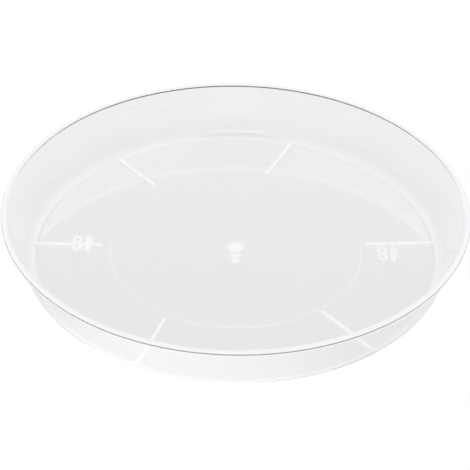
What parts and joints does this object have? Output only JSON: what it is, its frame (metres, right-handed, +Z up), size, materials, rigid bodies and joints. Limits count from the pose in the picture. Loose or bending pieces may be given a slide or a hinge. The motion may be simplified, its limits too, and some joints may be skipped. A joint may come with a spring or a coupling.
{
  "type": "plant saucer",
  "caption": "Clear round drip saucer with a flared wall, a lip around the rim, six low ribs on the floor and the mark of the gate in its middle, to stand under a plant pot.",
  "frame": {"origin": "middle of the underside, on the table plane, under the centre of the rim", "axes": "+Z up along the rim's axis; +X towards the rib beside the unobstructed size number; +Y away from the viewer of the picture"},
  "size_m": [0.18, 0.18, 0.023],
  "materials": {
    "clear_plastic": "clear, glossy, as moulded"
  },
  "bodies": {
    "root": {"saucer": "clear_plastic"}
  },
  "joints": []
}
